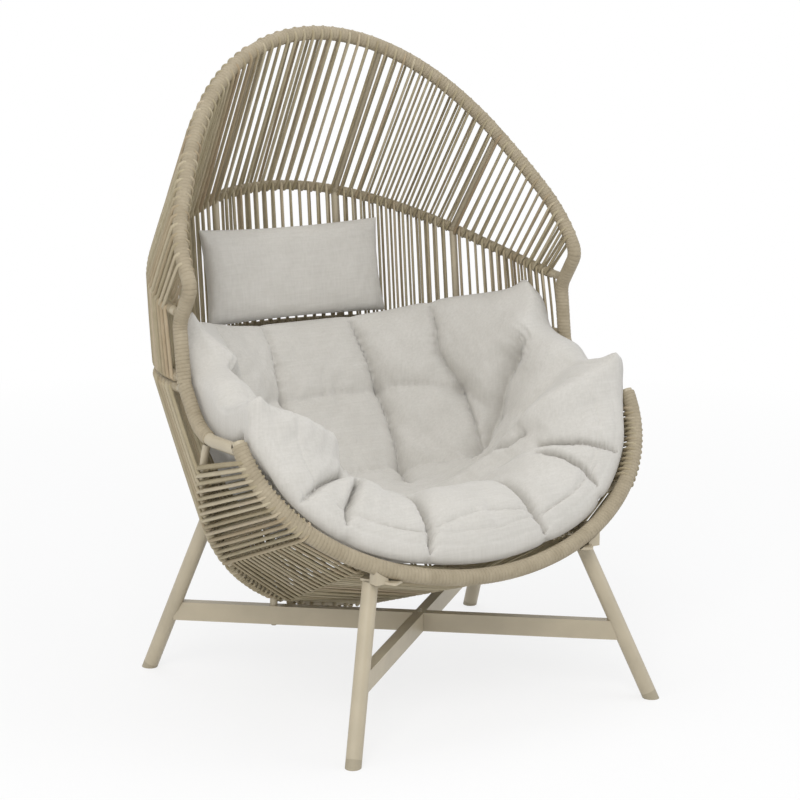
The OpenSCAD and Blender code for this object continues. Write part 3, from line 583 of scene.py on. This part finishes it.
SIDE_RIB, INNER_RIB, MID_RIB = [(hoop_pt(t)[0], under_pt(u)[0])
                                for t, u in ((HOOP_A, UNDER_A), (HOOP_B, UNDER_B), (90, 90))]
BASE_FROM, BASE_RUN, BASE_STRANDS = 0.06, 0.89, 17
for name, rib, next_rib, extra, shift, side_of in (
        ("right", SIDE_RIB, INNER_RIB, TIE_T, 0, as_it_is),
        ("inner_right", INNER_RIB, MID_RIB, 0, 0, as_it_is),
        ("left", SIDE_RIB, INNER_RIB, TIE_T, 0, mirrored),
        ("inner_left", INNER_RIB, MID_RIB, 0, 0.25, mirrored)):
    panel = Mesh()
    for side in (1, -1):
        for k in range(1, BASE_STRANDS + 1):
            step = k - (0.5 if side > 0 else 0) + shift
            f = BASE_FROM + BASE_RUN * step / (BASE_STRANDS + 0.25)
            a, b = side_of(on_rib(rib, f)), side_of(on_rib(next_rib, f))
            add_strand(panel, a, RIB_R + TOUCH, b, RIB_R + extra + FIT, v3(0, 0, -1), side, rng,
                       end_a=BARE, end_b=BARE, slack=2.0)
    panel.make("base_cord_" + name, MAT_CORD, ["base_cords_" + name])


# ---------------------------------------------------------------- windings, turn by turn
def sample(fn, s0, s1, step):
    n = max(2, int(round(abs(s1 - s0) / step)) + 1)
    return [fn(lerp(s0, s1, i / (n - 1)))[0] for i in range(n)]


def resample(pts, step):
    pts = np.asarray(pts, float)
    d = run_of(pts)
    n = max(2, int(d[-1] / step) + 1)
    s = np.linspace(0, d[-1], n)
    return np.stack([np.interp(s, d, pts[:, k]) for k in range(3)], 1), d[-1]


# One turn's outline along its pitch: place and height
TURN = [(0.0, 0.0), (0.08, 0.72), (0.2, 0.95), (0.5, 1.0), (0.8, 0.95), (0.92, 0.72)]


def winding(mesh, pts, inner, thick, rng, pitch=7.6, sides=20, tilt=2.0):
    """Turns of cord along a line, of slightly different sizes, with a groove between them."""
    groove, play = 1.25, 0.16
    pts, length = resample(pts, 1.0)
    d = np.linspace(0, length, len(pts))
    turns = max(1, int(round(length / pitch)))
    pitch = length / turns
    pos, rad = [], []
    for k in range(turns):
        grow = rng.uniform(0, 1)
        nudge = rng.uniform(-0.05, 0.05)
        for x, h in TURN:
            pos.append((k + (x + nudge if x else 0)) * pitch)
            rad.append(inner + thick - groove * (1 - h) - play * (1 - grow))
    pos.append(length)
    rad.append(inner + thick - groove)
    path = np.stack([np.interp(pos, d, pts[:, j]) for j in range(3)], 1)
    mesh.sweep(path, rad, sides=sides, tilt=tilt)


def side_curve(points, radii, flip):
    """A bent line in a side plane, [y, z] points with bend radii, as the tubes run."""
    out = []
    for i, p in enumerate(points):
        if i in (0, len(points) - 1) or radii[i] == 0:
            out.append(p)
            continue
        d0, d1 = unit(p - points[i - 1]), unit(points[i + 1] - p)
        a = turn(d0, d1)
        t = radii[i] * math.tan(abs(a) / 2)
        s = p - d0 * t
        c = s + perp(d0) * radii[i] * (1 if a > 0 else -1)
        for j in range(9):
            g = a * j / 8
            w = s - c
            out.append(c + np.array([w[0] * math.cos(g) - w[1] * math.sin(g),
                                     w[0] * math.sin(g) + w[1] * math.cos(g)]))
    x = -SIDE_X if flip else SIDE_X
    return [v3(x, q[0], q[1]) for q in out]


wrap_rng = random.Random(11)
post_line = [ELBOW + RIM_LINE * (ELBOW_START + 6), ELBOW, KNEE, POST - unit(POST - KNEE)]
right_post, left_post = [side_curve(post_line, [0, ELBOW_BEND, KNEE_BEND, 0], flip)
                         for flip in (False, True)]
arch_line = sample(arch_pt, 0, run_len(ARCH), 6.0)
hood_rim = Mesh()
winding(hood_rim, right_post[::-1] + arch_line + left_post, RIM_R, ARCH_R - RIM_R, wrap_rng)
hood_rim.make("hood_rim_winding", MAT_WRAP, ["hood_post_wrap_left", "hood_post_wrap_right"])

ARM_WOUND = 108      # the arm's winding ends this far in front of the post
post_top = np.array([POST_Y + 14.3, SPLIT_Z + 20])
post_dir = unit(v3(0, *(post_top - ARM_BEND)))
for name, flip in (("right", False), ("left", True)):
    line = [p for p in side_curve([post_top, ARM_BEND, ARM_END], [0, ARM_TUBE_BEND, 0], flip)
            if p[2] < SPLIT_Z - 1 and p[1] > POST_Y - ARM_WOUND]
    start = line[0] + post_dir * ((SPLIT_Z - 0.8 - line[0][2]) / 0.81)
    post = Mesh()
    winding(post, [start] + line, RIM_R, ARCH_R - RIM_R, wrap_rng)
    post.make("seat_post_winding_" + name, MAT_WRAP, ["seat_post_wrap_" + name])

hoop_rim = Mesh()
hoop_line = [hoop_pt(t)[0] for t in np.linspace(0.6, 179.4, 240)]
winding(hoop_rim, hoop_line, RIM_R, HOOP_R - RIM_R, wrap_rng)
hoop_rim.make("front_rim_winding", MAT_WRAP, ["front_hoop_wrap"])

for name, z in (("hood", HOOD_RING_Z), ("seat", SEAT_RING_Z)):
    ring = Mesh()
    line = sample(lambda s: ring_pt(s, z), RING_CUT, run_len(RING) - RING_CUT, 6.0)
    winding(ring, line, RING_R, TIE_T, wrap_rng, pitch=7.0, sides=14, tilt=1.4)
    ring.make(name + "_ring_winding", MAT_WRAP)
mid = Mesh()
mid_line = [mid_p(t) for t in np.linspace(4, 176, 200)]
winding(mid, mid_line, RING_R, 1.8, wrap_rng, pitch=8.0, sides=14, tilt=3.0)
mid.make("mid_ring_winding", MAT_WRAP)


# ---------------------------------------------------------------- cushions
SEAT_MID = v3(0, 20, 350)
SEAT_RIM = [v3(*p) for p in (
    (0, -308, 338), (192, -290, 362), (321, -254, 413), (414, -200, 500), (444, -150, 600),
    (435, -140, 676), (435, -88, 667), (436, -32, 657), (434, 13, 688), (428, 96, 712),
    (421, 152, 778), (330, 300, 760), (180, 405, 722), (0, 440, 712))]
# Thickness at the middle, depth of the pit, thickness of the edge in front and at the sides, how far
# the sides swell out, and how far the front roll rises
SEAT_T, SEAT_PIT, FRONT_EDGE, SIDE_EDGE, SIDE_PUSH, ROLL_RISE = 105.0, 90.0, 16.0, 72.0, 26.0, 40.0
SIDE_FROM_Z, SIDE_OVER_Z = 540, 100     # the sides' fuller edge starts here and is full so far above
PAD_HALF_W = 457                        # it stays inside the seat's side tubes
# Fuller parts of each side: middle, reach each way, and what it adds to the loft
FULL = [(v3(300, -140, 530), v3(95, 90, 90), 26), (v3(222, -170, 470), v3(80, 70, 70), 32),
        (v3(392, 70, 715), v3(110, 105, 100), 40)]
# Ear tips and nicks at the seams' ends: place, pull there, and how far the pull reaches
EAR_TIPS = [v3(421, 160, 800), v3(435, -140, 682)]
RIM_PULLS = [(v3(421, 158, 790), v3(0, 6, 46), 26), (v3(435, -140, 682), v3(2, -8, 16), 18),
             (v3(120, 426, 717), v3(0, 0, -8), 9), (v3(284, 342, 744), v3(0, 0, -9), 9),
             (v3(145, -300, 352), v3(0, 10, 6), 10), (v3(310, -258, 408), v3(0, 8, 6), 10)]
# Seams of the right half: points, width, share of the loft taken, depth of the crease
SEAT_SEAMS = [
    ([(114, 430, 712), (118, 333, 622), (118, 297, 571), (117, 263, 527), (108, 211, 470),
      (91, 162, 430), (65, 90, 404)], 22, 0.45, 12),
    ([(282, 344, 740), (267, 293, 696), (254, 265, 649), (258, 194, 581), (254, 164, 552),
      (246, 125, 515), (223, 66, 458)], 22, 0.45, 12),
    ([(0, 305, 570), (118, 297, 571), (164, 282, 580), (218, 242, 579), (258, 194, 581),
      (280, 72, 532)], 24, 0.26, 3),
    ([(0, 165, 425), (91, 163, 428), (150, 130, 432), (223, 70, 455)], 24, 0.2, 2),
    ([(404, 90, 700), (352, 104, 640), (318, 104, 595), (278, 92, 524), (215, 70, 444)],
     25, 0.85, 7),
    ([(205, 30, 434), (222, -30, 452), (246, -92, 474), (284, -146, 500), (322, -174, 508),
      (363, -195, 498), (402, -215, 484)], 17, 0.3, 19),
    ([(112, -150, 448), (119, -200, 454), (128, -265, 405), (145, -300, 358)], 13, 0.42, 27),
    ([(222, -150, 500), (256, -184, 485), (300, -216, 450), (318, -245, 420)], 11, 0.28, 24),
    ([(0, -257, 410), (50, -261, 408), (158, -270, 400), (250, -250, 420), (340, -215, 460)],
     10, 0.04, 4.5),
]
SEAT_TUFTS = [(118, 297, 571), (91, 162, 430), (258, 194, 581), (280, 72, 532), (223, 66, 458)]


SEAM_STEP, CREASE_W, GATHER_W = 5.0, 4.2, 18
WING_FOLD = 0.8      # a seam that takes more than this is a fold, which opens slowly from nothing


def knot(i):
    n = len(SEAT_RIM) - 1
    if i < 0:
        return SEAT_RIM[-i] * FLIP
    if i > n:
        return SEAT_RIM[2 * n - i] * FLIP
    return SEAT_RIM[i]


def seat_edge(q):
    """Point at q knots round the rim, which starts at the front and is mirrored past the back."""
    n = len(SEAT_RIM) - 1
    flip = q > n
    if flip:
        q = 2 * n - q
    i = min(n - 1, int(q))
    f = q - i
    a, b, c, d = knot(i - 1), knot(i), knot(i + 1), knot(i + 2)
    e = (b + f * (c - a) / 2 + f * f * (a - 2.5 * b + 2 * c - d / 2)
         + f ** 3 * (b * 1.5 - a / 2 - 1.5 * c + d / 2))
    return e * FLIP if flip else e


def bell(d, w):
    return np.exp(-(d / w) ** 2)


def grid_normals(p, blur=0):
    """Outward normals of a grid of points that closes on itself along its second axis. They are
    averaged by area over blur columns and a few rows, which steadies them where columns crowd."""
    df = np.gradient(p, axis=0)
    dk = (np.roll(p, -1, 1) - np.roll(p, 1, 1)) / 2
    n = np.cross(df, dk)
    for _ in range(2 if blur else 0):
        n = sum(np.roll(n, j, 1) for j in range(-blur, blur + 1))
        padded = np.concatenate([n[:1]] * 3 + [n] + [n[-1:]] * 3)
        n = sum(padded[j:j + len(n)] for j in range(7))
    return n / np.maximum(np.linalg.norm(n, axis=-1, keepdims=True), 1e-9)


def nearest(p, line):
    """Distance from each point of p to a line's samples, and the nearest sample's number."""
    flat = p.reshape(-1, 3)
    d = np.linalg.norm(flat[:, None] - line[None], axis=2)
    return d.min(1).reshape(p.shape[:-1]), d.argmin(1).reshape(p.shape[:-1])


def snapped(line, p):
    """The points of p that lie nearest to a line's samples."""
    flat = p.reshape(-1, 3)
    d = np.linalg.norm(line[:, None] - flat[None], axis=2)
    return flat[d.argmin(1)]


def smooth_noise(p, scale, seed):
    """Cheap smooth noise in space: a few sines of random directions."""
    r = np.random.RandomState(seed)
    out = np.zeros(p.shape[:-1])
    for _ in range(9):
        w = r.normal(size=3)
        w *= 2 * math.pi / (scale * r.uniform(0.7, 1.6) * np.linalg.norm(w))
        out += np.sin(p @ w + r.uniform(0, 6.28))
    return out / 4.0


def add_cushion(name, verts, faces, node, weld=False):
    mesh = bpy.data.meshes.new(name)
    mesh.from_pydata(to_frame(verts).tolist(), [], faces)
    if weld:
        bm = bmesh.new()
        bm.from_mesh(mesh)
        bmesh.ops.remove_doubles(bm, verts=bm.verts, dist=0.00005)
        bm.to_mesh(mesh)
        bm.free()
    obj = add_piece(name, mesh, MAT_CLOTH, [node])


def ring_faces(count, n):
    """Faces of count rings of n points, with the first and last ring closed by a fan."""
    faces = []
    for i in range(count - 1):
        for k in range(n):
            m = (k + 1) % n
            faces.append((i * n + k, (i + 1) * n + k, (i + 1) * n + m, i * n + m))
    first, last = count * n, count * n + 1
    for k in range(n):
        m = (k + 1) % n
        faces.append((first, k, m))
        faces.append((last, (count - 1) * n + m, (count - 1) * n + k))
    return faces


def seam_field(face, seams):
    """How much each seam takes from the loft, how deep its crease is, and the gathers beside it."""
    share, crease, gather = (np.zeros(face.shape[:-1]) for _ in range(3))
    for index, (points, width, take, deep) in enumerate(seams):
        fade_in, least = (75, 0) if take > WING_FOLD else (22, 0.25)
        for s in SIDES:
            line = snapped(resample([v3(*p) * s for p in points], SEAM_STEP)[0], face)
            d, at = nearest(face, line)
            along = at * SEAM_STEP
            ahead = (len(line) - 1) * SEAM_STEP - along
            end = np.clip(np.minimum(along / fade_in, ahead / 22) + least, 0, 1)
            share = 1 - (1 - share) * (1 - take * np.exp(-(d / width) ** 1.2) * end)
            crease = np.maximum(crease, deep * np.exp(-(d / CREASE_W) ** 1.2) * end)
            spread = np.stack([along, 0 * d + 40 * index, 17.0 * s[0] + d * 0.25], -1)
            gather += 4.0 * take * smooth_noise(spread, 17.0, 5) * np.exp(-d / GATHER_W) * end
    return share, crease, gather


def tuft_field(face):
    """How deep the tufts pull: a button's dimple and a wide dip round it."""
    tuft = np.zeros(face.shape[:-1])
    for t in SEAT_TUFTS:
        for s in SIDES:
            d, _ = nearest(face, snapped((v3(*t) * s)[None], face))
            tuft = np.maximum(tuft, 19 * np.exp(-(d / 10) ** 1.2) + 9 * np.exp(-d / 34))
    return tuft


def pad_loop(count):
    """The rim as count points that stand evenly along it."""
    loop = np.array([seat_edge(q) for q in np.linspace(0, 2 * (len(SEAT_RIM) - 1), 2600)])
    loop = resample(loop, 1.0)[0]
    return loop[np.linspace(0, len(loop) - 1, count + 1).astype(int)[:-1]]


def pad_loft(face, a, f):
    """Height of the filling over the face, before the seams, at angle a and share f of the way out."""
    full = sum(add * bell(np.linalg.norm((face - mid * s) / reach, axis=-1), 1.0)
               for mid, reach, add in FULL for s in SIDES)
    roll = np.maximum(0, -np.sin(a)) ** 2 * bell(f - 0.7, 0.22)
    loft = (SEAT_T / 2 + full + 22 * roll) * np.sqrt(1 - f ** 13)
    for tip in EAR_TIPS:
        for s in SIDES:
            loft = loft * (1 - 0.8 * bell(np.linalg.norm(face - tip * s, axis=-1), 55))
    return loft


def seat_pad():
    """A bowl of cloth over a rim with raised wings. Rows run from its middle, at f = 0, to the rim."""
    n_edge, n_rows = ((600, 140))
    loop = pad_loop(n_edge)
    inner, outer = n_rows * 3 // 4, n_rows // 4
    f = np.concatenate([np.linspace(0.03, 0.84, inner), np.linspace(0.85, 0.997, outer)])[:, None]
    from_mid = loop[:, 1] - SEAT_MID[1]
    a = np.arctan2(from_mid, loop[:, 0])[None]
    past_corner = np.degrees(np.arctan2(from_mid, abs(loop[:, 0])))[None] + 31
    climb = 2.6 + 1.1 * np.cos(a) ** 2 - 1.8 * bell(past_corner, np.where(past_corner > 0, 33, 25))
    roll_rise = ROLL_RISE * np.maximum(0, -np.sin(a)) * bell(f - 0.64, 0.2)
    face = np.stack([
        loop[None, :, 0] * f,
        SEAT_MID[1] + from_mid[None] * f,
        SEAT_MID[2] + (loop[None, :, 2] - SEAT_MID[2]) * f ** climb + roll_rise], -1)
    normal = grid_normals(face, n_edge // 35)
    share, crease, gather = seam_field(face, SEAT_SEAMS)
    stitch = 2.6 * bell(f - 0.9, 0.008) * (np.sin(a) < -0.25) + 2.2 * bell(f - 0.97, 0.007)
    wrinkle = sum(deep * smooth_noise(face, scale, seed)
                  for deep, scale, seed in ((2.2, 95.0, 2), (1.2, 42.0, 3), (0.5, 18.0, 4)))
    fade = np.clip((1 - f) / 0.04, 0, 1) ** 0.5
    sunk = crease + tuft_field(face) + stitch - gather - wrinkle
    top = face + normal * (pad_loft(face, a, f) * (1.12 - share) - sunk * fade)[..., None]

    aside = np.cos(a) ** 2 * np.clip((loop[None, :, 2] - SIDE_FROM_Z) / SIDE_OVER_Z, 0, 1)
    edge = FRONT_EDGE + (SIDE_EDGE - FRONT_EDGE) * aside
    under = face - normal * ((SEAT_PIT + (edge - SEAT_PIT) * f) * np.sqrt(1 - f ** 7))[..., None]
    under[..., 0] += np.sign(loop[None, :, 0]) * SIDE_PUSH * aside * bell(f - 0.955, 0.05)
    under[..., 0] = np.clip(under[..., 0], -PAD_HALF_W, PAD_HALF_W)

    rings = np.concatenate([top, loop[None], under[::-3]])
    for place, pull, reach in RIM_PULLS:
        for s in SIDES:
            d = np.linalg.norm(rings - place * s, axis=-1)
            rings = rings + np.exp(-d / reach)[..., None] * pull * s
    verts = np.concatenate([rings.reshape(-1, 3), rings[0].mean(0)[None], rings[-1].mean(0)[None]])
    add_cushion("seat_pad", verts, ring_faces(*rings.shape[:2]), "seat_cushion")


REST_W, REST_H, REST_T, REST_X, REST_Y, REST_Z = 458.0, 212.0, 85.0, -5.0, 484, 818
REST_TILT, REST_BEND = math.radians(-11), 28


def head_rest():
    """A flat pillow with a seam round it and pointed corners, bent to the hood."""
    n = 46
    u, v = np.meshgrid(np.linspace(-1, 1, n * 2 + 1), np.linspace(-1, 1, n + 1))
    su, sv = np.sin(u * math.pi / 2), np.sin(v * math.pi / 2)
    x = REST_W / 2 * su * (1 - 0.05 * (1 - sv ** 2) * abs(su) ** 3) + REST_X
    z = REST_H / 2 * sv * (1 - 0.055 * (1 - su ** 2) * abs(sv) ** 3)
    loft = REST_T / 2 * ((1 - abs(su) ** 4) * (1 - abs(sv) ** 3.2)) ** 0.42
    p = np.stack([x, 0 * x, z], -1)
    rough = 1.2 * smooth_noise(p, 70.0, 12) + 0.8 * smooth_noise(p, 28.0, 13)
    near_seam = np.minimum(1, loft / 14)
    pucker = 1.6 * np.sin(u * 60 + 3 * smooth_noise(p, 50, 14)) * bell(1 - abs(v), 0.12) * near_seam
    pucker += 1.4 * np.sin(v * 30 + 3 * smooth_noise(p, 50, 15)) * bell(1 - abs(u), 0.07) * near_seam
    c, s = math.cos(REST_TILT), math.sin(REST_TILT)
    sheets = []
    for depth in (-loft - (rough + pucker) * near_seam, loft):
        y = depth - REST_BEND * (x / (REST_W / 2)) ** 2
        sheets.append(np.stack([x, y * c - z * s + REST_Y, y * s + z * c + REST_Z], -1).reshape(-1, 3))
    rows, cols = u.shape
    back = rows * cols
    faces = []
    for i in range(rows - 1):
        for j in range(cols - 1):
            q = i * cols + j
            faces.append((q, q + 1, q + cols + 1, q + cols))
            faces.append((back + q, back + q + cols, back + q + cols + 1, back + q + 1))
    add_cushion("head_rest", np.concatenate(sheets), faces, "head_pillow", weld=True)


seat_pad()
head_rest()


# ---------------------------------------------------------------- floor, light and camera
FLOOR_HALF, FLOOR_Z = 300.0, -0.0005


def stage_material():
    """A matt white floor that shows partly as plain white, and wholly so far from the chair."""
    n = Nodes("floor_white")
    n.surface(Base_Color=(0.86, 0.86, 0.86, 1), Roughness=0.9, Specular_IOR_Level=0.1)
    glow = n.new("ShaderNodeEmission", Color=(1, 1, 1, 1), Strength=1.0)
    path = n.new("ShaderNodeLightPath")
    mirrors = n.math("MAXIMUM", path.outputs["Is Glossy Ray"], path.outputs["Is Transmission Ray"])
    seen = n.math("MAXIMUM", path.outputs["Is Camera Ray"], mirrors)
    far = n.new("ShaderNodeVectorMath", operation="LENGTH")
    n.link(n.coords(), far.inputs[0])
    away_by = n.math("SUBTRACT", far.outputs["Value"], 0.9)
    reach = n.math("MULTIPLY", away_by, 0.4, clamp=True)
    white = n.math("ADD", 0.76, n.math("MULTIPLY", reach, 0.24))
    mix = n.new("ShaderNodeMixShader")
    n.link(n.math("MULTIPLY", seen, white), mix.inputs[0])
    n.link(n.bsdf.outputs[0], mix.inputs[1])
    n.link(glow.outputs[0], mix.inputs[2])
    n.link(mix.outputs[0], n.out.inputs[0])
    return n.mat


floor_mesh = bpy.data.meshes.new("floor")
corners = [(x * FLOOR_HALF, y * FLOOR_HALF, FLOOR_Z) for x, y in ((-1, -1), (1, -1), (1, 1), (-1, 1))]
floor_mesh.from_pydata(corners, [], [(0, 1, 2, 3)])
floor_mesh.materials.append(stage_material())
floor = bpy.data.objects.new("floor", floor_mesh)
scene.collection.objects.link(floor)

world = bpy.data.worlds.new("studio")
scene.world = world
world.use_nodes = True
tree = world.node_tree
tree.nodes.clear()
w_out, w_mix, w_path, w_seen, w_soft, w_white = [
    tree.nodes.new("ShaderNode" + kind)
    for kind in ("OutputWorld", "MixShader", "LightPath", "Math", "Background", "Background")]
w_seen.operation = "MAXIMUM"
for shader, colour, strength in ((w_soft, (0.97, 0.98, 1.0, 1), 0.62), (w_white, (1, 1, 1, 1), 1.0)):
    shader.inputs[0].default_value = colour
    shader.inputs[1].default_value = strength
for source, target in ((w_path.outputs["Is Camera Ray"], w_seen.inputs[0]),
                       (w_path.outputs["Is Glossy Ray"], w_seen.inputs[1]),
                       (w_seen.outputs[0], w_mix.inputs[0]), (w_soft.outputs[0], w_mix.inputs[1]),
                       (w_white.outputs[0], w_mix.inputs[2]), (w_mix.outputs[0], w_out.inputs[0])):
    tree.links.new(source, target)


def area_light(name, place, target, size, power, colour=(1, 1, 1)):
    data = bpy.data.lights.new(name, "AREA")
    data.shape = "SQUARE"
    data.size, data.energy, data.color = size, power, colour
    obj = bpy.data.objects.new(name, data)
    scene.collection.objects.link(obj)
    obj.location = place
    obj.rotation_euler = (Vector(target) - Vector(place)).to_track_quat("-Z", "Y").to_euler()


area_light("key", (-2.2, -2.6, 3.4), (0, 0, 0.6), 2.2, 78, (1.0, 0.985, 0.96))
area_light("fill", (2.8, -2.6, 1.8), (0, 0, 0.6), 2.6, 34, (0.97, 0.985, 1.0))
area_light("top", (0.3, 0.8, 3.6), (0, 0.1, 0.6), 2.4, 30)
area_light("side", (-3.4, -1.0, 0.8), (0, 0, 0.5), 1.8, 16)

# The photo's camera, as the fit gave it: angles, place, focal length and picture width in pixels
AZ, EL, ROLL = math.radians(-33.355), math.radians(11.872), math.radians(0.322)
CAMERA_AT = (-2.4296, -3.6587 - MID_Y * 0.001, 1.5331)
FOCAL_PX, WIDTH_PX, SENSOR = 2156.5, 800, 36.0
back_v = v3(math.sin(AZ) * math.cos(EL), -math.cos(AZ) * math.cos(EL), math.sin(EL))
level_right = v3(math.cos(AZ), math.sin(AZ), 0)
level_up = np.cross(back_v, level_right)
right_v = level_right * math.cos(ROLL) + level_up * math.sin(ROLL)
up_v = -level_right * math.sin(ROLL) + level_up * math.cos(ROLL)
cam_data = bpy.data.cameras.new("camera")
cam_data.sensor_width = SENSOR
cam_data.lens = FOCAL_PX / WIDTH_PX * SENSOR
cam_data.clip_end = 900
cam = bpy.data.objects.new("camera", cam_data)
scene.collection.objects.link(cam)
rot = Matrix(tuple(zip(right_v, up_v, back_v)))
cam.matrix_world = Matrix.Translation(CAMERA_AT) @ rot.to_4x4()
scene.camera = cam
scene.view_settings.view_transform = "Standard"
